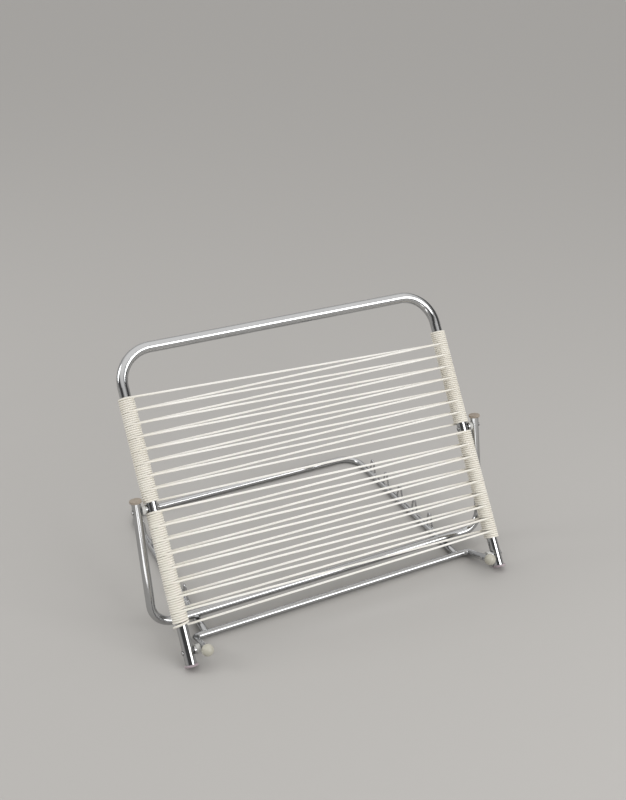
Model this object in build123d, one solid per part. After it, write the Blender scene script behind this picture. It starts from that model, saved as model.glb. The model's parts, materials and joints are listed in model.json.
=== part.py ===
from build123d import *
import math
import os

import numpy as np

# Leaning rack of chromed tube: a corded panel, a prop behind it and a base that lies on the floor.
# Millimetres, +Z up, +X to the right of someone facing the panel, +Y to the rear.
# The origin is on the floor under the middle of the bounding box.

# Panel: an inverted U of tube. Lengths "up" are measured along a leg from where its axis meets the floor.
LEG_SPACING = 474.0
PANEL_LEAN = 34.0
RAIL_UP = 417.0
PANEL_TUBE = 15.0
PANEL_WALL = 1.5
TOP_BEND = 46.0

# Foot plugs in the lower ends of the legs
FOOT_FLANGE = 18.5
FOOT_FLANGE_THICK = 3.0
FOOT_STEM_LENGTH = 16.0

# Cord wound on the legs and laced across between them
CORD = 2.9
CORD_STANDOFF = 0.3
UPPER_CORD_TOP = 356.5
UPPER_CORD_BOTTOM = 219.0
LOWER_CORD_TOP = 206.5
LOWER_CORD_BOTTOM = 59.0
CORD_TAIL = 11.5
TAIL_HALF_TURNS = 3
GROUPS_PER_SECTION = 8
FULL_TURNS_PER_GROUP = 2

# Prop: a U of tube, pivoted on the outside of the panel's legs
PIVOT_UP = 212.75
PROP_TUBE = 12.0
PROP_WALL = 1.25
PROP_GAP = 7.5
PROP_RISE = 16.0
PROP_BAR_BACK = 86.0
PROP_BEND = 30.0
PROP_CAP_FLANGE = 16.0
PROP_CAP_THICK = 4.0
PROP_CAP_STEM = 12.0

# Base: a U of tube flat on the floor, whose arms run forward to a front bar with turned-up tips
BASE_TUBE = 10.0
BASE_WALL = 1.0
ARM_INSET = 40.0
REAR_BAR_BACK = 370.0
REAR_BEND = 30.0
FRONT_BAR_BACK = 54.0
TIP_GAP = 8.5
TIP_BEND = 10.0
BALL_PAST_HINGE = 16.0
BALL = 16.0
BALL_GRIP = 7.0

# Ratchet wires on top of the arms, measured back from the front bar
WIRE = 3.0
WIRE_FRONT = 54.0
WIRE_REAR = 276.0
FIRST_TOOTH = 77.0
TOOTH_PITCH = 43.5
TEETH = 5
TOOTH_HEIGHT = 20.0
TOOTH_TOP = 5.0
TOOTH_FRONT_RUN = 8.0
TOOTH_REAR_RUN = 3.0
WIRE_BEND = 2.6

# Riveted pins, and the bush and washer on each between the tubes
HINGE_UP = 25.0
HINGE_PIN = 5.0
HINGE_BUSH = 12.5
PIVOT_PIN = 5.0
PIVOT_BUSH = 12.0
WASHER = 11.0
WASHER_THICK = 2.2
RIVET_HEAD = 6.4
RIVET_HEAD_THICK = 0.7
RIVET_ROUND = 0.5

# Clearances
PIN_CLEARANCE = 0.05
PLUG_CLEARANCE = 0.05
SIDE_CLEARANCE = 0.3
SEAT_CLEARANCE = 0.2

# Rounding of the rims of the plugs' flanges
FLANGE_ROUND = 1.2

SIDES = (("left", -1), ("right", 1))


def lean_vector(degrees):
    """Unit vector in the YZ plane that leans back from the vertical."""
    angle = math.radians(degrees)
    return Vector(0, math.sin(angle), math.cos(angle))


def slanted_plane(origin, upward):
    """Plane with X to the right and Y along the given direction in the YZ plane."""
    return Plane(origin, x_dir=(1, 0, 0), z_dir=Vector(1, 0, 0).cross(upward))


# The front and rear faces of the whole decide where the origin lies.
leg_up = lean_vector(PANEL_LEAN)
hinge_from_floor_point = leg_up * HINGE_UP
front_bar_from_floor_point = Vector(0, FRONT_BAR_BACK, BASE_TUBE / 2)
tip_forward = (hinge_from_floor_point - front_bar_from_floor_point).normalized()
ball_from_floor_point = hinge_from_floor_point + tip_forward * BALL_PAST_HINGE
front_face = ball_from_floor_point.Y - BALL / 2
rear_face = REAR_BAR_BACK + BASE_TUBE / 2
LEG_FLOOR_Y = -(front_face + rear_face) / 2

# Shared points and planes
floor_point = Vector(0, LEG_FLOOR_Y, 0)
hinge = floor_point + hinge_from_floor_point
pivot = floor_point + leg_up * PIVOT_UP
front_bar = floor_point + front_bar_from_floor_point
rear_bar = floor_point + Vector(0, REAR_BAR_BACK, BASE_TUBE / 2)
arm_back = (rear_bar - front_bar).normalized()
arm_length = (rear_bar - front_bar).length
prop_bar = floor_point + Vector(0, PROP_BAR_BACK, BASE_TUBE + SEAT_CLEARANCE + PROP_TUBE / 2)
prop_up = (pivot - prop_bar).normalized()
prop_length = (pivot - prop_bar).length

panel_plane = slanted_plane(floor_point, leg_up)
prop_plane = slanted_plane(pivot, prop_up)
base_plane = slanted_plane(front_bar, arm_back)
tip_plane = slanted_plane(front_bar, tip_forward)

leg_x = LEG_SPACING / 2
prop_x = leg_x + PANEL_TUBE / 2 + PROP_GAP + PROP_TUBE / 2
arm_x = leg_x - ARM_INSET
tip_x = leg_x - PANEL_TUBE / 2 - TIP_GAP - BASE_TUBE / 2
foot_rim = (FOOT_FLANGE / 2 - FLANGE_ROUND) * leg_up.Y + FLANGE_ROUND
foot_up = foot_rim / leg_up.Z - FLANGE_ROUND
leg_bottom = foot_up + FOOT_FLANGE_THICK
ball_reach = (hinge - front_bar).length + BALL_PAST_HINGE
tip_length = ball_reach - BALL / 2 + BALL_GRIP


def rod(path, diameter):
    """Solid round bar along a path."""
    return sweep(Plane(path @ 0, z_dir=path % 0) * Circle(diameter / 2), path=path)


def tube(path, diameter, wall):
    """Hollow round tube along a path."""
    return rod(path, diameter) - rod(path, diameter - 2 * wall)


def u_path(half_width, open_end, closed_end, bend):
    """U in the XY plane, from one open end round the closed end to the other."""
    return FilletPolyline(
        (-half_width, open_end),
        (-half_width, closed_end),
        (half_width, closed_end),
        (half_width, open_end),
        radius=bend,
    )


def round_along_x(diameter, x_from, x_to, place):
    """Cylinder along X between two stations, through a point of the side view."""
    middle = Vector((x_from + x_to) / 2, place.Y, place.Z)
    return Plane(middle, z_dir=(1, 0, 0)) * Cylinder(diameter / 2, abs(x_to - x_from))


def round_along_y(diameter, x, y_from, y_to):
    """Cylinder along Y of a slanted plane's own axes."""
    middle = Pos(x, (y_from + y_to) / 2, 0)
    return middle * Rot(90, 0, 0) * Cylinder(diameter / 2, abs(y_to - y_from))


def flange_along_y(diameter, x, y_from, y_to):
    """Disc across Y of a slanted plane's own axes, with both rims rounded."""
    disc = round_along_y(diameter, x, y_from, y_to)
    return fillet(disc.edges().filter_by(GeomType.CIRCLE), FLANGE_ROUND)


def rounded_disc(diameter, x_from, x_to, place):
    """Disc across X with the rim of its far face rounded, as a set rivet head has."""
    disc = round_along_x(diameter, x_from, x_to, place)
    far_rim = disc.edges().filter_by(GeomType.CIRCLE).sort_by(Axis.X)[-1 if x_to > x_from else 0]
    return fillet(far_rim, RIVET_ROUND)


def make_panel_tube():
    legs = panel_plane * tube(u_path(leg_x, leg_bottom, RAIL_UP, TOP_BEND), PANEL_TUBE, PANEL_WALL)
    for pin, place in ((HINGE_PIN, hinge), (PIVOT_PIN, pivot)):
        for _, side in SIDES:
            reach = PANEL_TUBE
            legs -= round_along_x(
                pin + 2 * PIN_CLEARANCE, side * leg_x - reach, side * leg_x + reach, place
            )
    return legs


def make_foot_plug(side):
    stem = PANEL_TUBE - 2 * PANEL_WALL - 2 * PLUG_CLEARANCE
    flange = flange_along_y(FOOT_FLANGE, side * leg_x, foot_up, leg_bottom)
    stem_top = min(leg_bottom + FOOT_STEM_LENGTH, HINGE_UP - HINGE_PIN / 2 - SIDE_CLEARANCE)
    return panel_plane * (flange + round_along_y(stem, side * leg_x, leg_bottom, stem_top))


def make_prop_tube():
    path = u_path(prop_x, PROP_RISE - PROP_CAP_THICK, -prop_length, PROP_BEND)
    frame = prop_plane * tube(path, PROP_TUBE, PROP_WALL)
    for _, side in SIDES:
        frame -= round_along_x(
            PIVOT_PIN + 2 * PIN_CLEARANCE, side * prop_x - PROP_TUBE, side * prop_x + PROP_TUBE, pivot
        )
    return frame


def make_prop_cap(side):
    stem = PROP_TUBE - 2 * PROP_WALL - 2 * PLUG_CLEARANCE
    seat = PROP_RISE - PROP_CAP_THICK
    flange = flange_along_y(PROP_CAP_FLANGE, side * prop_x, seat, PROP_RISE)
    stem_bottom = max(seat - PROP_CAP_STEM, PIVOT_PIN / 2 + SIDE_CLEARANCE)
    return prop_plane * (flange + round_along_y(stem, side * prop_x, stem_bottom, seat))


def front_bar_path():
    return u_path(tip_x, tip_length, 0, TIP_BEND)


def make_front_bar():
    bar = tip_plane * tube(front_bar_path(), BASE_TUBE, BASE_WALL)
    for _, side in SIDES:
        bar -= round_along_x(
            HINGE_PIN + 2 * PIN_CLEARANCE, side * tip_x - BASE_TUBE, side * tip_x + BASE_TUBE, hinge
        )
    return bar


def make_base_tube():
    """Rear bar and arms; the arms' front ends are coped to the front bar."""
    arms = base_plane * tube(u_path(arm_x, 0, arm_length, REAR_BEND), BASE_TUBE, BASE_WALL)
    return arms - tip_plane * rod(front_bar_path(), BASE_TUBE)


def make_ball(side):
    """Ball pushed over the end of a turned-up tip."""
    bore = round_along_y(BASE_TUBE + 2 * PLUG_CLEARANCE, side * tip_x, tip_length - BALL, tip_length)
    return tip_plane * (Pos(side * tip_x, ball_reach, 0) * Sphere(BALL / 2) - bore)


def make_ratchet_wire(side):
    """Wire that lies on an arm and rises in steep teeth."""
    points = [(WIRE_FRONT, 0)]
    for tooth in range(TEETH):
        peak = FIRST_TOOTH + tooth * TOOTH_PITCH
        top_front = peak - TOOTH_TOP / 2
        top_rear = peak + TOOTH_TOP / 2
        points.append((top_front - TOOTH_FRONT_RUN, 0))
        points.append((top_front, TOOTH_HEIGHT))
        points.append((top_rear, TOOTH_HEIGHT))
        points.append((top_rear + TOOTH_REAR_RUN, 0))
    points.append((WIRE_REAR, 0))
    wire_rise = BASE_TUBE / 2 + PIN_CLEARANCE + WIRE / 2
    wire_start = front_bar + Vector(side * arm_x, 0, wire_rise)
    side_plane = Plane(wire_start, x_dir=arm_back, z_dir=(1, 0, 0))
    return side_plane * rod(FilletPolyline(*points, radius=WIRE_BEND), WIRE)


def make_rivet(side, pin, place, inner_face, outer_face):
    """Pin along X with a set head outside each face."""
    inner = side * inner_face
    outer = side * outer_face
    head = side * RIVET_HEAD_THICK
    shank = round_along_x(pin, inner, outer, place)
    return shank + rounded_disc(RIVET_HEAD, inner, inner - head, place) + rounded_disc(
        RIVET_HEAD, outer, outer + head, place
    )


def make_ring(side, diameter, pin, place, inner_face, outer_face):
    """Bush or washer round a pin."""
    ring = round_along_x(diameter, side * inner_face, side * outer_face, place)
    return ring - round_along_x(pin + 2 * PIN_CLEARANCE, side * inner_face, side * outer_face, place)


# Stations along X at the two pins, from the inside outwards
hinge_inner = tip_x - BASE_TUBE / 2 - SIDE_CLEARANCE
hinge_bush_inner = tip_x + BASE_TUBE / 2 + SIDE_CLEARANCE
hinge_washer_outer = leg_x - PANEL_TUBE / 2 - SIDE_CLEARANCE
hinge_washer_inner = hinge_washer_outer - WASHER_THICK
hinge_bush_outer = hinge_washer_inner - SIDE_CLEARANCE
hinge_outer = leg_x + PANEL_TUBE / 2 + SIDE_CLEARANCE
pivot_inner = leg_x - PANEL_TUBE / 2 - SIDE_CLEARANCE
pivot_washer_inner = leg_x + PANEL_TUBE / 2 + SIDE_CLEARANCE
pivot_washer_outer = pivot_washer_inner + WASHER_THICK
pivot_bush_inner = pivot_washer_outer + SIDE_CLEARANCE
pivot_bush_outer = prop_x - PROP_TUBE / 2 - SIDE_CLEARANCE
pivot_outer = prop_x + PROP_TUBE / 2 + SIDE_CLEARANCE

# Cord route, in the panel's own axes: X across, Y up the leg, Z to the front
cord_radius = PANEL_TUBE / 2 + CORD_STANDOFF + CORD / 2
crossing_angle = math.asin(2 * cord_radius / LEG_SPACING)


def wound_group(side, top, bottom, half_turns, from_back=False):
    """Points and directions at each half turn of one group of turns, wound from the top down.

    The cord comes on at the front of a leg, goes round its outer side and leaves from the back.
    The first group of all starts with a loose end at the back instead.
    """
    outer_angle = math.pi if side < 0 else 0
    if from_back:
        first_angle = outer_angle + side * 1.5 * math.pi
        sweep_angle = half_turns * math.pi + crossing_angle
    else:
        first_angle = outer_angle + side * (math.pi / 2 + crossing_angle)
        sweep_angle = half_turns * math.pi + 2 * crossing_angle
    step = -side * sweep_angle / half_turns
    fall = (bottom - top) / (cord_radius * sweep_angle)
    points = []
    directions = []
    for index in range(half_turns + 1):
        angle = first_angle + index * step
        height = top + (bottom - top) * index / half_turns
        points.append(
            Vector(side * leg_x + cord_radius * math.cos(angle), height, cord_radius * math.sin(angle))
        )
        turning = Vector(side * math.sin(angle), fall, -side * math.cos(angle))
        directions.append(turning.normalized())
    return points, directions


def cord_groups():
    """All groups of turns in winding order, right leg first."""
    groups = []
    for section_top, section_bottom in (
        (UPPER_CORD_TOP, UPPER_CORD_BOTTOM),
        (LOWER_CORD_TOP, LOWER_CORD_BOTTOM),
    ):
        period = (section_top - section_bottom) / GROUPS_PER_SECTION
        pitch = period / (FULL_TURNS_PER_GROUP + 1)
        half_turns = 2 * FULL_TURNS_PER_GROUP + 1
        for index in range(GROUPS_PER_SECTION):
            top = section_top - index * period
            bottom = top - period + pitch / 2
            for side in (1, -1):
                if groups:
                    groups.append(wound_group(side, top, bottom, half_turns))
                else:
                    groups.append(wound_group(side, top + pitch / 2, bottom, half_turns + 1, from_back=True))
    tail_bottom = LOWER_CORD_BOTTOM - CORD_TAIL
    groups.append(wound_group(1, LOWER_CORD_BOTTOM, tail_bottom, TAIL_HALF_TURNS))
    return groups


def tangent_arc(start, corner, end):
    """Arc that touches start-corner and corner-end at its two ends."""
    chord_middle = (start + end) / 2
    half_chord = (end - start).length / 2
    turn = math.acos(min(1.0, half_chord / (corner - start).length))
    bulge = (corner - chord_middle).normalized() * (half_chord * math.tan(turn / 2))
    return ThreePointArc(start, chord_middle + bulge, end)


def biarc(start, start_direction, end, end_direction):
    """Two arcs that leave one point and reach another in the given directions."""
    span = end - start
    total = start_direction + end_direction
    spread = 2 * (1 - start_direction.dot(end_direction))
    along = span.dot(total)
    reach = (math.sqrt(along**2 + spread * span.dot(span)) - along) / spread
    first_corner = start + start_direction * reach
    last_corner = end - end_direction * reach
    joint = (first_corner + last_corner) / 2
    return [tangent_arc(start, first_corner, joint), tangent_arc(joint, last_corner, end)]


def cord_edges(groups):
    """Arcs of every group of turns, and the straight strands from leg to leg between them."""
    for (points, directions), (next_points, next_directions) in zip(groups, groups[1:]):
        strand = (next_points[0] - points[-1]).normalized()
        directions[-1] = strand
        next_directions[0] = strand
    edges = []
    for index, (points, directions) in enumerate(groups):
        for step in range(len(points) - 1):
            edges += biarc(points[step], directions[step], points[step + 1], directions[step + 1])
        if index + 1 < len(groups):
            edges.append(Line(points[-1], groups[index + 1][0][0]))
    return edges


def least_gap(edges, diameter, samples=16, skip=2.0):
    """Least gap between stretches of a cord that lie further apart along it than skip of its girths."""
    points = []
    stations = []
    travelled = 0.0
    for edge in edges:
        count = max(samples, int(edge.length / diameter))
        for index in range(count):
            points.append(tuple(edge @ (index / count)))
            stations.append(travelled + edge.length * index / count)
        travelled += edge.length
    places = np.array(points)
    stations = np.array(stations)
    nearest = math.inf
    for index in range(len(places)):
        far = stations[index + 1:] - stations[index] > skip * math.pi * diameter
        distances = np.linalg.norm(places[index + 1:] - places[index], axis=1)
        if far.any():
            nearest = min(nearest, distances[far].min())
    return nearest - diameter


def make_lacing_cord():
    edges = cord_edges(cord_groups())
    print(f"lacing cord: least gap to itself {least_gap(edges, CORD):.2f} mm")
    return panel_plane * rod(Wire(edges), CORD)


def make_parts():
    parts = {
        "panel_tube": make_panel_tube(),
        "lacing_cord": make_lacing_cord(),
        "prop_tube": make_prop_tube(),
        "base_tube": make_base_tube(),
        "front_bar": make_front_bar(),
    }
    for word, side in SIDES:
        parts["foot_plug_" + word] = make_foot_plug(side)
        parts["prop_cap_" + word] = make_prop_cap(side)
        parts["tip_ball_" + word] = make_ball(side)
        parts["ratchet_wire_" + word] = make_ratchet_wire(side)
        parts["hinge_pin_" + word] = make_rivet(side, HINGE_PIN, hinge, hinge_inner, hinge_outer)
        parts["pivot_pin_" + word] = make_rivet(side, PIVOT_PIN, pivot, pivot_inner, pivot_outer)
        for name, diameter, pin, place, inner_face, outer_face in (
            ("hinge_bush_", HINGE_BUSH, HINGE_PIN, hinge, hinge_bush_inner, hinge_bush_outer),
            ("hinge_washer_", WASHER, HINGE_PIN, hinge, hinge_washer_inner, hinge_washer_outer),
            ("pivot_bush_", PIVOT_BUSH, PIVOT_PIN, pivot, pivot_bush_inner, pivot_bush_outer),
            ("pivot_washer_", WASHER, PIVOT_PIN, pivot, pivot_washer_inner, pivot_washer_outer),
        ):
            parts[name + word] = make_ring(side, diameter, pin, place, inner_face, outer_face)
    return parts


os.makedirs("parts", exist_ok=True)
for name, shape in make_parts().items():
    export_step(shape, f"parts/{name}.step")
print(f"hinge {tuple(hinge)} pivot {tuple(pivot)} prop length {prop_length:.1f}")
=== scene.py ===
import json
import math

import bpy
from mathutils import Matrix, Vector, noise


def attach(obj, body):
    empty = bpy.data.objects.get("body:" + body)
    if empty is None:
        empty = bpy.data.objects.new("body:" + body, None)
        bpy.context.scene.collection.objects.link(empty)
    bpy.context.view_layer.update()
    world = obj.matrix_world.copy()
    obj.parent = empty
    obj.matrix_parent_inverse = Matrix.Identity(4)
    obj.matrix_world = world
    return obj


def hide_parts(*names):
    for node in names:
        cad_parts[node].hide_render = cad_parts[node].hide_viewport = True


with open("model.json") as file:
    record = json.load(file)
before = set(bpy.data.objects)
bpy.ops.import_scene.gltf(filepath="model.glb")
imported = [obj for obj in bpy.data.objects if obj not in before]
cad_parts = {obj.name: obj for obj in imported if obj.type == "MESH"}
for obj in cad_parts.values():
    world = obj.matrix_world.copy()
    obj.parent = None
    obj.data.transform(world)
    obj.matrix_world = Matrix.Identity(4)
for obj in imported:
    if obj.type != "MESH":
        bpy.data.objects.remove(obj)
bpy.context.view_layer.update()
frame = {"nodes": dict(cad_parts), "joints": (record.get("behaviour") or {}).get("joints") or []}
nodes = frame["nodes"]

MM = 0.001
SIDES = (("left", -1), ("right", 1))

# Sizes of the solids that the added pieces follow, in millimetres and degrees.
# Wires and teeth are measured back from the front bar.
PANEL_LEAN = 34.0
LEG_X = 237.0
PANEL_TUBE = 15.0
HINGE_UP = 25.0
BASE_TUBE = 10.0
ARM_X = 197.0
FRONT_BAR_BACK = 54.0
WIRE_FRONT = 54.0
WIRE_REAR = 276.0
FIRST_TOOTH = 77.0
TOOTH_PITCH = 43.5
TEETH = 5

lean = math.radians(PANEL_LEAN)
leg_up = Vector((0.0, math.sin(lean), math.cos(lean)))
panel_front = Vector((0.0, -math.cos(lean), math.sin(lean)))
hinge = Vector(frame["joints"][0]["pos_m"])
floor_point = hinge - leg_up * (HINGE_UP * MM)


def on_panel(place):
    """Point in the shared frame of a place in the panel's own axes: across, up the leg, to the front."""
    across = Vector((place.x * MM, 0, 0))
    return floor_point + across + leg_up * (place.y * MM) + panel_front * (place.z * MM)


def tube_faces(first, rings, sides):
    """Faces of a tube through rings of vertices, from vertex first on, closed at both ends."""
    faces = []
    for ring in range(rings - 1):
        low = first + ring * sides
        high = low + sides
        for corner in range(sides):
            following = (corner + 1) % sides
            faces.append((low + corner, low + following, high + following, high + corner))
    last = first + (rings - 1) * sides
    faces.append(tuple(reversed(range(first, first + sides))))
    faces.append(tuple(range(last, last + sides)))
    return faces


# Cord: lengths and places along a leg in millimetres, and counts of turns and of points

CORD_FILL = 0.992
CORD_DEPTH = 3.2
CORD_STANDOFF = 0.08
SECTIONS = ((356.5, 219.0), (206.5, 59.0))
GROUPS_PER_SECTION = 8
FULL_TURNS_PER_GROUP = 5
TAIL_LENGTH = 10.4
TAIL_HALF_TURNS = 7
STEPS_PER_HALF_TURN = 12
CORD_SIDES = 12
STRAND_STEPS = 8
EASE_LENGTH = 22.0
GROOVE_POWER = 6

# The turns wander a little by noise along the cord, which differs from leg to leg
WANDER_HEIGHT = 0.05
WANDER_SCALE = 0.03
WANDER_APART = 7.0

# The last turn on the left leg has slipped a little down and stands off
SLIP_LENGTH = 44.0
SLIP_DROP = 3.6
SLIP_STANDOFF = 1.4

cord_radius = PANEL_TUBE / 2 + CORD_STANDOFF + CORD_DEPTH / 2
crossing_angle = math.asin(cord_radius / LEG_X)


class Group:
    """One group of turns on a leg, wound from the top down, on at the front and off at the back."""

    def __init__(self, side, top, bottom, half_turns, free_start=False):
        self.side = side
        self.top = top
        self.bottom = bottom
        self.half_turns = half_turns
        self.width = CORD_FILL * 2 * (top - bottom) / half_turns
        outer_angle = math.pi if side < 0 else 0.0
        if free_start:
            self.first_angle = outer_angle + side * 1.5 * math.pi
            self.sweep = half_turns * math.pi + crossing_angle
        else:
            self.first_angle = outer_angle + side * (math.pi / 2 + crossing_angle)
            self.sweep = half_turns * math.pi + 2 * crossing_angle
        self.length = cord_radius * self.sweep
        self.slope = (bottom - top) / self.length
        self.slope_in = self.slope
        self.slope_out = self.slope
        self.slipped = False

    def at(self, share, height, standoff=0.0):
        angle = self.first_angle - self.side * self.sweep * share
        radius = cord_radius + standoff
        return Vector((self.side * LEG_X + radius * math.cos(angle), height, radius * math.sin(angle)))

    def start(self):
        return self.at(0.0, self.top)

    def end(self):
        return self.at(1.0, self.bottom - (SLIP_DROP if self.slipped else 0.0))

    def points(self):
        """Points of the turns; near both ends the pitch eases into the slope of the strands."""
        steps = self.half_turns * STEPS_PER_HALF_TURN
        places = []
        for index in range(steps + 1):
            share = index / steps
            run = share * self.length
            height = self.top + (self.bottom - self.top) * share
            ease_in = run / EASE_LENGTH
            if ease_in < 1:
                height += (self.slope_in - self.slope) * EASE_LENGTH * ease_in * (1 - ease_in) ** 2
            ease_out = 1 - (self.length - run) / EASE_LENGTH
            if ease_out > 0:
                height += (self.slope_out - self.slope) * EASE_LENGTH * (ease_out**3 - ease_out**2)
            wander = noise.noise(Vector((run * WANDER_SCALE, self.top, WANDER_APART * self.side)))
            height += WANDER_HEIGHT * wander * math.sin(math.pi * share)
            standoff = 0.0
            slip = 1 - (self.length - run) / SLIP_LENGTH
            if self.slipped and slip > 0:
                height -= SLIP_DROP * slip * slip * (3 - 2 * slip)
                standoff = SLIP_STANDOFF * math.sin(math.pi * slip) ** 2
            places.append(self.at(share, height, standoff))
        return places


def cord_groups():
    """Groups of the whole cord in its order, right and left by turns, with the short tail last."""
    groups = []
    half_turns = 2 * FULL_TURNS_PER_GROUP + 1
    for section_top, section_bottom in SECTIONS:
        period = (section_top - section_bottom) / GROUPS_PER_SECTION
        pitch = period / (FULL_TURNS_PER_GROUP + 1)
        for index in range(GROUPS_PER_SECTION):
            top = section_top - index * period
            bottom = top - period + pitch / 2
            for side in (1, -1):
                if groups:
                    groups.append(Group(side, top, bottom, half_turns))
                else:
                    groups.append(Group(side, top + pitch / 2, bottom, half_turns + 1, free_start=True))
    groups[-1].slipped = True
    last = SECTIONS[-1][1]
    groups.append(Group(1, last, last - TAIL_LENGTH, TAIL_HALF_TURNS))
    for one, following in zip(groups, groups[1:]):
        strand = following.start() - one.end()
        one.slope_out = strand.y / math.hypot(strand.x, strand.z)
        following.slope_in = one.slope_out
    return groups


def cord_route():
    """Points of the whole cord, each with its width and how far it lies in a winding, from 0 to 1."""
    route = []
    groups = cord_groups()
    for index, group in enumerate(groups):
        places = group.points()
        route += [(place, group.width, 1.0) for place in places]
        if index + 1 < len(groups):
            end = places[-1]
            following = groups[index + 1]
            for step in range(1, STRAND_STEPS):
                share = step / STRAND_STEPS
                width = group.width + (following.width - group.width) * share
                route.append((end.lerp(following.start(), share), width, 0.0))
    return route


def make_cord():
    """Cord as one closed mesh; it stores where the grooves between turns and the windings are."""
    route = cord_route()
    places = [place for place, _, _ in route]
    leg_axis = Vector((0, 1, 0))
    vertices = []
    grooves = []
    windings = []
    for index, (place, width, wound) in enumerate(route):
        before = places[max(index - 1, 0)]
        after = places[min(index + 1, len(places) - 1)]
        along = (after - before).normalized()
        outward = along.cross(leg_axis).normalized()
        upward = outward.cross(along)
        for corner in range(CORD_SIDES):
            angle = 2 * math.pi * corner / CORD_SIDES
            deep = CORD_DEPTH / 2 * math.cos(angle)
            wide = width / 2 * math.sin(angle)
            spoke = outward * deep + upward * wide
            vertices.append(on_panel(place + spoke))
            # Groove mask: where the material paints shade between neighbouring turns.
            grooves.append(wound * abs(math.sin(angle)) ** GROOVE_POWER)
            # Winding mask: where it is 0, in the free strands, the material paints the cord whiter as
            # painted light.
            windings.append(wound)
    faces = tube_faces(0, len(route), CORD_SIDES)
    mesh = bpy.data.meshes.new("cord_winding")
    mesh.from_pydata(vertices, [], faces)
    for name, values in (("groove", grooves), ("wound", windings)):
        attribute = mesh.attributes.new(name, "FLOAT", "POINT")
        attribute.data.foreach_set("value", values)
    mesh.polygons.foreach_set("use_smooth", [True] * len(faces))
    mesh.polygons[-1].use_smooth = False
    mesh.polygons[-2].use_smooth = False
    mesh.update()
    cord = bpy.data.objects.new("cord_winding", mesh)
    bpy.context.scene.collection.objects.link(cord)
    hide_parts("lacing_cord")
    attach(cord, "panel")
    return cord


# Welds of the base, in millimetres and degrees

WELD = 0.9
WELD_SIDES = 10
WELD_STEPS = 48
WELD_FROM = -48.0
WELD_TO = 228.0
WELD_LUMPS = 0.16
WELD_LUMP_SCALE = 0.9
WELD_TAPER_POWER = 6
WELD_TAPER_LEAST = 0.02
SADDLE_EASE = 0.12
TACK_LENGTH = 8.0
TACK_STEPS = 14
TACK_FROM_END = 5.0
TACK_OUT = 2.0
TACK_RISE = 0.4


def bead_mesh(name, paths):
    """Lumpy beads of weld metal along open paths in millimetres, thinning out to both ends."""
    vertices = []
    faces = []
    for path in paths:
        first = len(vertices)
        for index, place in enumerate(path):
            along = (path[min(index + 1, len(path) - 1)] - path[max(index - 1, 0)]).normalized()
            sideways = along.orthogonal().normalized()
            other = along.cross(sideways)
            share = index / (len(path) - 1)
            taper = math.sqrt(max(WELD_TAPER_LEAST, 1 - (2 * share - 1) ** WELD_TAPER_POWER))
            lumps = 1 + WELD_LUMPS * noise.noise(place * WELD_LUMP_SCALE)
            for corner in range(WELD_SIDES):
                angle = 2 * math.pi * corner / WELD_SIDES
                spoke = sideways * math.cos(angle) + other * math.sin(angle)
                vertices.append((place + spoke * (WELD * taper * lumps)) * MM)
        faces += tube_faces(first, len(path), WELD_SIDES)
    mesh = bpy.data.meshes.new(name)
    mesh.from_pydata(vertices, [], faces)
    mesh.polygons.foreach_set("use_smooth", [True] * len(faces))
    mesh.update()
    return mesh


def base_piece(name, mesh):
    piece = bpy.data.objects.new(name, mesh)
    bpy.context.scene.collection.objects.link(piece)
    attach(piece, "base")
    return piece


def arm_front(side):
    """Point of the front bar's axis where an arm meets it, in millimetres."""
    return Vector((side * ARM_X, floor_point.y / MM + FRONT_BAR_BACK, BASE_TUBE / 2))


def make_arm_weld(word, side):
    """Bead round the saddle where an arm meets the front bar, open underneath."""
    radius = BASE_TUBE / 2
    path = []
    for index in range(WELD_STEPS + 1):
        angle = math.radians(WELD_FROM + (WELD_TO - WELD_FROM) * index / WELD_STEPS)
        back = radius * math.hypot(math.cos(angle), SADDLE_EASE)
        path.append(arm_front(side) + Vector((radius * math.cos(angle), back, radius * math.sin(angle))))
    return base_piece("arm_weld_" + word, bead_mesh("arm_weld_" + word, [path]))


def make_wire_tacks(word, side):
    """Short beads on both sides of a ratchet wire, at its ends and halfway between its teeth."""
    top = math.sqrt((BASE_TUBE / 2 + WELD * TACK_RISE) ** 2 - TACK_OUT**2)
    places = [WIRE_FRONT + TACK_FROM_END, WIRE_REAR - TACK_FROM_END]
    places += [FIRST_TOOTH + (gap + 0.5) * TOOTH_PITCH for gap in range(TEETH - 1)]
    steps = [(index / TACK_STEPS - 0.5) * TACK_LENGTH for index in range(TACK_STEPS + 1)]
    paths = []
    for place in places:
        for hand in (-1, 1):
            middle = arm_front(side) + Vector((hand * TACK_OUT, place, top))
            paths.append([middle + Vector((0, step, 0)) for step in steps])
    return base_piece("wire_tacks_" + word, bead_mesh("wire_tacks_" + word, paths))


# Materials: scales of noise are per metre, and a band is the part of its values that shows

HAZE_SCALE = 9.0
HAZE_BAND = (0.3, 0.7)
HAZE_DIMMING = 0.93
POLISH_BAND = (0.3, 0.75)
POLISH_ROUGHNESS = (0.07, 0.13)
PIT_SCALE = 900.0
PIT_FROM = 0.74
PIT_TO = 0.78
PIT_CLUSTER_SCALE = 16.0
PIT_CLUSTER_BAND = (0.5, 0.66)
PIT_TONE = (0.16, 0.13, 0.11)
PIT_ROUGHNESS = 0.6

PLASTIC_CLOUD_SCALE = 120.0
PLASTIC_GLOSS_SCALE = 420.0
PLASTIC_GRAIN_DEPTH = 0.00006
PLASTIC_BAND = (0.3, 0.7)
GLOSS_BELOW = 0.06
GLOSS_ABOVE = 0.08

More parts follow.
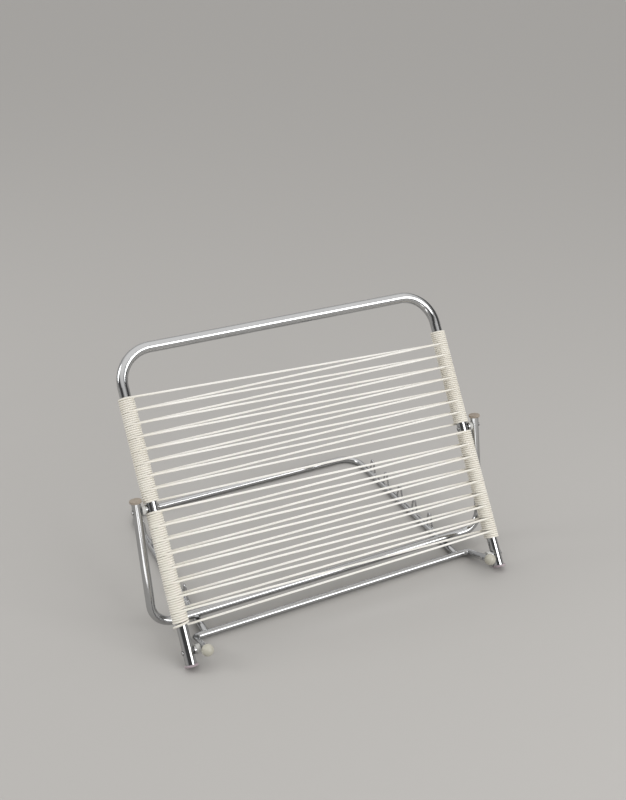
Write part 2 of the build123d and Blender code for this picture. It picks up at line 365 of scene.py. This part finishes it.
CORD_CLOUD_SCALE = 24.0
CORD_CLOUD_BAND = (0.32, 0.68)
CORD_BAND = (0.3, 0.7)
# The strands' tones are painted lighter than the windings', as painted light for the brighter light the
# strands catch.
WINDING_TONES = ((0.86, 0.835, 0.765), (0.80, 0.765, 0.68))
STRAND_PAINTED_LIGHT_TONES = ((0.955, 0.94, 0.90), (0.92, 0.90, 0.85))
# Painted shade: the grooves between the turns are darkened toward this tone, in patches.
GROOVE_SHADE_SCALE = 45.0
GROOVE_SHADE_SHARE = (0.15, 0.55)
GROOVE_SHADE_TONE = (0.52, 0.455, 0.345)
CORD_GLOSS_SCALE = 260.0
CORD_ROUGHNESS = (0.46, 0.60)
CORD_GRAIN_SCALE = 700.0
CORD_GRAIN_DEPTH = 0.00004

# Tint and amount of pitting of each plating
PLATINGS = {
    "chrome_tube_plating": ((0.50, 0.505, 0.51), 0.03),
    "chrome_wire_plating": ((0.53, 0.535, 0.54), 0.02),
    "rivet_plating": ((0.48, 0.48, 0.48), 0.05),
}

# Light and dark tone, roughness and scale of the grain of each plastic
PLASTICS = {
    "cap_plastic_tan": ((0.345, 0.295, 0.24), (0.28, 0.235, 0.19), 0.46, 1500.0),
    "foot_plastic_grey": ((0.41, 0.345, 0.37), (0.34, 0.28, 0.305), 0.40, 1500.0),
    "bush_plastic_grey": ((0.60, 0.60, 0.58), (0.52, 0.52, 0.50), 0.44, 1500.0),
    "ball_plastic_ivory": ((0.51, 0.50, 0.43), (0.45, 0.43, 0.36), 0.34, 900.0),
}

# Nodes by material; those of a pair are named without their side
TUBE_NODES = ("panel_tube", "prop_tube", "base_tube", "front_bar")
PAIRED_NODES = {
    "chrome_wire_plating": ("ratchet_wire",),
    "rivet_plating": ("hinge_pin", "pivot_pin", "hinge_washer", "pivot_washer"),
    "cap_plastic_tan": ("prop_cap",),
    "foot_plastic_grey": ("foot_plug",),
    "bush_plastic_grey": ("hinge_bush", "pivot_bush"),
    "ball_plastic_ivory": ("tip_ball",),
}


class Shader:
    """A node material with one principled shader, built by short calls."""

    def __init__(self, name):
        self.material = bpy.data.materials.new(name)
        self.material.use_nodes = True
        self.tree = self.material.node_tree
        self.main = self.tree.nodes["Principled BSDF"]
        self.place = self.tree.nodes.new("ShaderNodeTexCoord").outputs["Object"]

    def value(self, socket, amount):
        self.main.inputs[socket].default_value = amount

    def feed(self, socket, output):
        self.tree.links.new(output, self.main.inputs[socket])

    def node(self, kind, **sockets):
        made = self.tree.nodes.new(kind)
        for name, content in sockets.items():
            socket = made.inputs[name.replace("_", " ")]
            if isinstance(content, bpy.types.NodeSocket):
                self.tree.links.new(content, socket)
            else:
                socket.default_value = content
        return made

    def noise(self, scale, detail=3.0, roughness=0.5):
        made = self.node(
            "ShaderNodeTexNoise", Vector=self.place, Scale=scale, Detail=detail, Roughness=roughness
        )
        return made.outputs["Fac"]

    def spread(self, output, band, to=(0.0, 1.0)):
        made = self.node(
            "ShaderNodeMapRange",
            Value=output,
            From_Min=band[0],
            From_Max=band[1],
            To_Min=to[0],
            To_Max=to[1],
        )
        return made.outputs[0]

    def times(self, one, other):
        made = self.tree.nodes.new("ShaderNodeMath")
        made.operation = "MULTIPLY"
        self.tree.links.new(one, made.inputs[0])
        self.tree.links.new(other, made.inputs[1])
        return made.outputs[0]

    def mix(self, share, one, other):
        made = self.tree.nodes.new("ShaderNodeMix")
        made.data_type = "RGBA"
        self.tree.links.new(share, made.inputs["Factor"])
        for socket, content in ((made.inputs["A"], one), (made.inputs["B"], other)):
            if isinstance(content, bpy.types.NodeSocket):
                self.tree.links.new(content, socket)
            else:
                socket.default_value = (*content, 1.0)
        return made.outputs["Result"]

    def attribute(self, name):
        made = self.tree.nodes.new("ShaderNodeAttribute")
        made.attribute_name = name
        return made.outputs["Fac"]

    def bump(self, output, depth):
        made = self.node("ShaderNodeBump", Height=output, Distance=depth)
        self.feed("Normal", made.outputs[0])


def chrome(name, tint, pitting):
    """Bright plating with faint haze, and clusters of small dark pits."""
    shader = Shader(name)
    shader.value("Metallic", 1.0)
    haze = shader.noise(HAZE_SCALE, detail=4.0)
    specks = shader.spread(shader.noise(PIT_SCALE, detail=1.0), (PIT_FROM - pitting, PIT_TO - pitting))
    clusters = shader.spread(shader.noise(PIT_CLUSTER_SCALE, detail=2.0), PIT_CLUSTER_BAND)
    pits = shader.times(specks, clusters)
    hazy_tint = tuple(HAZE_DIMMING * part for part in tint)
    toned = shader.mix(shader.spread(haze, HAZE_BAND), tint, hazy_tint)
    shader.feed("Base Color", shader.mix(pits, toned, PIT_TONE))
    polish = shader.spread(haze, POLISH_BAND, POLISH_ROUGHNESS)
    shader.feed("Roughness", shader.spread(pits, (0.0, 1.0), (polish, PIT_ROUGHNESS)))
    return shader.material


def plastic(name, light, dark, gloss, grain):
    """Moulded plastic, a little uneven in tone, with a fine grain."""
    shader = Shader(name)
    clouds = shader.noise(PLASTIC_CLOUD_SCALE, detail=5.0, roughness=0.6)
    shader.feed("Base Color", shader.mix(shader.spread(clouds, PLASTIC_BAND), light, dark))
    gloss_range = (gloss - GLOSS_BELOW, gloss + GLOSS_ABOVE)
    shader.feed("Roughness", shader.spread(shader.noise(PLASTIC_GLOSS_SCALE), PLASTIC_BAND, gloss_range))
    shader.bump(shader.noise(grain, detail=2.0), PLASTIC_GRAIN_DEPTH)
    return shader.material


def cord_material():
    """Smooth ivory cord; the free strands are painted whiter as painted light, and painted shade darkens
    the grooves between the turns in patches.
    """
    shader = Shader("cord_ivory")
    clouds = shader.spread(shader.noise(CORD_CLOUD_SCALE, detail=4.0, roughness=0.6), CORD_CLOUD_BAND)
    winding = shader.mix(clouds, *WINDING_TONES)
    # Painted light: the free strands are painted whiter than the windings.
    strand = shader.mix(clouds, *STRAND_PAINTED_LIGHT_TONES)
    ivory = shader.mix(shader.attribute("wound"), strand, winding)
    # Painted shade in the grooves between the turns, in noise patches.
    patches = shader.spread(shader.noise(GROOVE_SHADE_SCALE), CORD_BAND, GROOVE_SHADE_SHARE)
    groove_shade = shader.times(shader.attribute("groove"), patches)
    shader.feed("Base Color", shader.mix(groove_shade, ivory, GROOVE_SHADE_TONE))
    shader.feed("Roughness", shader.spread(shader.noise(CORD_GLOSS_SCALE), CORD_BAND, CORD_ROUGHNESS))
    shader.bump(shader.noise(CORD_GRAIN_SCALE, detail=2.0), CORD_GRAIN_DEPTH)
    return shader.material


def put(material, name):
    for slot in nodes[name].material_slots:
        slot.material = material


cord = make_cord()
cord.data.materials.append(cord_material())
materials = {name: chrome(name, *settings) for name, settings in PLATINGS.items()}
materials.update({name: plastic(name, *settings) for name, settings in PLASTICS.items()})
for name in TUBE_NODES:
    put(materials["chrome_tube_plating"], name)
for word, side in SIDES:
    make_arm_weld(word, side).data.materials.append(materials["chrome_wire_plating"])
    make_wire_tacks(word, side).data.materials.append(materials["chrome_wire_plating"])
    for key, names in PAIRED_NODES.items():
        for name in names:
            put(materials[key], name + "_" + word)


# Floor, light and camera, in metres, watts and degrees, with the lens in millimetres

FLOOR_REACH = 80.0
FLOOR_TONE = (0.44, 0.43, 0.415)
FLOOR_ROUGHNESS = 0.8
FLOOR_SPECULAR = 0.2

# Place, power, width, and height or length of each lamp
LIT_POINT = (0.0, 0.0, 0.12)
WINDOWS = {
    "window": ((0.85, -2.05, 1.15), 27.0, 1.8, 0.9),
    "side_window": ((-2.2, 0.9, 1.3), 16.0, 0.9, 1.2),
}
FLOOR_CARDS = {
    "floor_card_left": ((-0.69, -0.955, 0.004), 2.0, 0.25, 1.37),
    "floor_card_right": ((-0.29, -1.17, 0.004), 1.4, 0.25, 0.95),
}
FLOOR_CARD_TURN = -27.0

# Brightness of the room by height of view, to the front and sides and to the rear
ROOM_BANDS = ((0.00, 0.42), (0.12, 0.40), (0.17, 0.09), (0.50, 0.08), (0.62, 0.85), (0.82, 1.15))
REAR_BANDS = ((0.00, 0.50), (0.40, 0.55), (0.62, 0.85), (0.82, 1.15))
REAR_FROM = 0.35
REAR_TO = 0.70
ROOM_TINT = (1.0, 0.99, 0.98)

CAMERA_FROM_FLOOR_POINT = Vector((-0.57326, -0.99213, 0.931))
CAMERA_AZIMUTH = 26.97
CAMERA_PITCH = 27.617
CAMERA_ROLL = 0.333
CAMERA_LENS = 47.944
CAMERA_SENSOR_HEIGHT = 36.0


def make_floor():
    mesh = bpy.data.meshes.new("floor")
    near, far = -FLOOR_REACH, FLOOR_REACH
    corners = [(near, near, 0), (far, near, 0), (far, far, 0), (near, far, 0)]
    mesh.from_pydata(corners, [], [(0, 1, 2, 3)])
    floor = bpy.data.objects.new("floor", mesh)
    bpy.context.scene.collection.objects.link(floor)
    shader = Shader("floor_pale")
    shader.value("Base Color", (*FLOOR_TONE, 1.0))
    shader.value("Roughness", FLOOR_ROUGHNESS)
    shader.value("Specular IOR Level", FLOOR_SPECULAR)
    mesh.materials.append(shader.material)


def aimed(place, target):
    return (Vector(target) - Vector(place)).to_track_quat("-Z", "Y").to_euler()


def make_lamp(name, place, rotation, energy, width, length):
    lamp = bpy.data.lights.new(name, "AREA")
    lamp.energy = energy
    lamp.shape = "RECTANGLE"
    lamp.size = width
    lamp.size_y = length
    holder = bpy.data.objects.new(name, lamp)
    holder.location = place
    holder.rotation_euler = rotation
    bpy.context.scene.collection.objects.link(holder)


def make_lights():
    """Two soft windows, and two pale cards lying in front that the upright tubes mirror."""
    for name, (place, *settings) in WINDOWS.items():
        make_lamp(name, place, aimed(place, LIT_POINT), *settings)
    facing_up = (math.pi, 0.0, math.radians(FLOOR_CARD_TURN))
    for name, (place, *settings) in FLOOR_CARDS.items():
        make_lamp(name, place, facing_up, *settings)


def band_ramp(tree, height, bands):
    ramp = tree.nodes.new("ShaderNodeValToRGB")
    tree.links.new(height, ramp.inputs["Fac"])
    stops = ramp.color_ramp.elements
    stops.remove(stops[1])
    for place, level in bands:
        stop = stops[0] if place == 0 else stops.new(place)
        stop.position = place
        stop.color = (*(level * part for part in ROOM_TINT), 1.0)
    return ramp.outputs["Color"]


def make_world():
    """Studio room: pale at the floor's edge, dim walls but a pale one at the rear, and a bright ceiling."""
    world = bpy.data.worlds.new("studio")
    bpy.context.scene.world = world
    world.use_nodes = True
    tree = world.node_tree
    split = tree.nodes.new("ShaderNodeSeparateXYZ")
    tree.links.new(tree.nodes.new("ShaderNodeTexCoord").outputs["Generated"], split.inputs[0])
    rearward = tree.nodes.new("ShaderNodeMapRange")
    tree.links.new(split.outputs["Y"], rearward.inputs["Value"])
    rearward.inputs["From Min"].default_value = REAR_FROM
    rearward.inputs["From Max"].default_value = REAR_TO
    room = tree.nodes.new("ShaderNodeMix")
    room.data_type = "RGBA"
    tree.links.new(rearward.outputs[0], room.inputs["Factor"])
    tree.links.new(band_ramp(tree, split.outputs["Z"], ROOM_BANDS), room.inputs["A"])
    tree.links.new(band_ramp(tree, split.outputs["Z"], REAR_BANDS), room.inputs["B"])
    tree.links.new(room.outputs["Result"], tree.nodes["Background"].inputs["Color"])


def make_camera():
    """Camera fitted to the photo; its place is given from where the legs' axes meet the floor."""
    turn = math.radians(CAMERA_AZIMUTH)
    dip = math.radians(CAMERA_PITCH)
    roll = math.radians(CAMERA_ROLL)
    level = Vector((math.sin(turn), math.cos(turn), 0))
    right = Vector((math.cos(turn), -math.sin(turn), 0))
    up = level * math.sin(dip) + Vector((0, 0, math.cos(dip)))
    forward = level * math.cos(dip) - Vector((0, 0, math.sin(dip)))
    right_rolled = right * math.cos(roll) + up * math.sin(roll)
    up_rolled = up * math.cos(roll) - right * math.sin(roll)
    axes = Matrix((right_rolled, up_rolled, -forward)).transposed().to_4x4()
    data = bpy.data.cameras.new("photo_camera")
    data.sensor_fit = "VERTICAL"
    data.sensor_height = CAMERA_SENSOR_HEIGHT
    data.lens = CAMERA_LENS
    camera = bpy.data.objects.new("photo_camera", data)
    camera.matrix_world = Matrix.Translation(floor_point + CAMERA_FROM_FLOOR_POINT) @ axes
    bpy.context.scene.collection.objects.link(camera)
    bpy.context.scene.camera = camera


make_floor()
make_world()
make_lights()
make_camera()
bpy.context.scene.view_settings.view_transform = "Standard"
